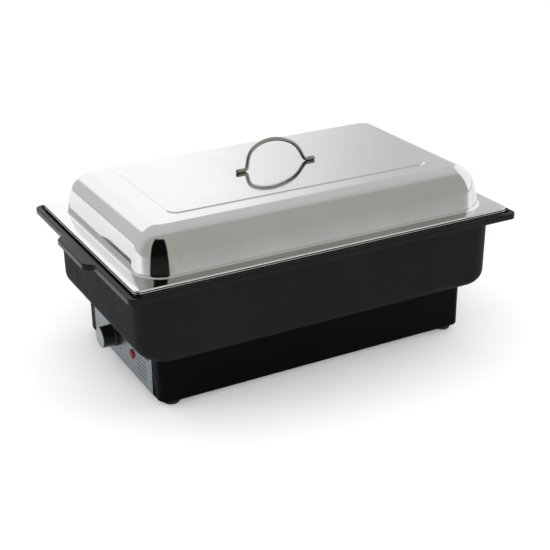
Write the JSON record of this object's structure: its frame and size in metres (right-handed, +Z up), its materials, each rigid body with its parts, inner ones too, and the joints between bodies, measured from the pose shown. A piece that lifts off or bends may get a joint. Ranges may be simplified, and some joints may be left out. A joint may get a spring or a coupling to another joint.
{
  "type": "electric chafing dish",
  "caption": "Electric buffet server: black tub and plinth with knob and lamp, steel water bath, lift-out gastronorm pan and polished lift-off lid with wire handle.",
  "frame": {"origin": "middle of the footprint, on the surface that the feet stand on", "axes": "+X along the long side, away from the control panel; +Y along the depth, towards the side with the power inlet; +Z up"},
  "size_m": [0.5698, 0.344, 0.2742],
  "materials": {
    "black_plastic": "fine spark-eroded texture, satin",
    "plinth_plastic": "fine spark-eroded texture, satin",
    "rubber": "matt",
    "cover_steel": "zinc-plated sheet",
    "bath_steel": "satin stainless steel",
    "pan_steel": "bright stainless steel",
    "lid_steel": "mirror-polished stainless steel",
    "handle_steel": "polished stainless steel wire",
    "fixings": "plated",
    "aluminium_plate": "rolled",
    "element_sheath": "heat-tinted",
    "brass": "plain",
    "copper": "drawn copper",
    "ceramic": "unglazed",
    "panel_silver": "silver satin, printed",
    "print": "printed ink",
    "lens_red": "translucent red",
    "lamp_plastic": "moulded",
    "knob_black": "satin black",
    "knob_silver": "brushed disc",
    "pointer_white": "printed",
    "wire_brown": "insulation",
    "wire_blue": "insulation",
    "wire_green": "insulation",
    "wire_sleeve": "glass-fibre sleeving",
    "inlet_black": "moulded"
  },
  "bodies": {
    "housing": {"tub": "black_plastic", "plinth": "plinth_plastic", "bottom_cover": "cover_steel", "feet": "rubber", "foot_screws": "fixings", "tub_screws": "fixings", "water_pan": "bath_steel", "heat_shield": "aluminium_plate", "element_plate": "aluminium_plate", "heating_element": "element_sheath", "element_terminals": "brass", "element_clamps": "cover_steel", "clamp_nuts": "fixings", "sensor_bulb": "copper", "bulb_clip": "cover_steel", "capillary_tube": "copper", "thermal_cutout": "ceramic", "cutout_bracket": "cover_steel", "thermostat_body": "ceramic", "thermostat_tabs": "brass", "thermostat_screws": "fixings", "control_panel": "panel_silver", "panel_marks": "print", "lamp_lens": "lens_red", "lamp_body": "lamp_plastic", "lamp_nut": "fixings", "terminal_block": "ceramic", "block_screws": "fixings", "earth_stud": "brass", "earth_nut": "fixings", "wire_live": "wire_brown", "wire_neutral": "wire_blue", "wire_earth": "wire_green", "wire_switched": "wire_sleeve", "wire_lamp": "wire_sleeve", "inlet_body": "inlet_black", "inlet_pins": "brass", "inlet_screws": "fixings"},
    "food_pan": {"food_pan": "pan_steel"},
    "lid": {"lid_shell": "lid_steel", "lid_handle": "handle_steel"},
    "knob": {"knob_body": "knob_black", "knob_cap": "knob_silver", "knob_pointer": "pointer_white", "thermostat_shaft": "fixings"}
  },
  "joints": [
    {"name": "food_pan_lift", "type": "slide", "parent": "housing", "child": "food_pan", "axis": [0, 0, 1], "range_m": [0, 0.12]},
    {"name": "lid_lift", "type": "slide", "parent": "food_pan", "child": "lid", "axis": [0, 0, 1], "range_m": [0, 0.12]},
    {"name": "knob_turn", "type": "hinge", "parent": "housing", "child": "knob", "pos_m": [-0.2254, 0.02, 0.04], "axis": [1, 0, 0], "range_deg": [0, 270]}
  ]
}
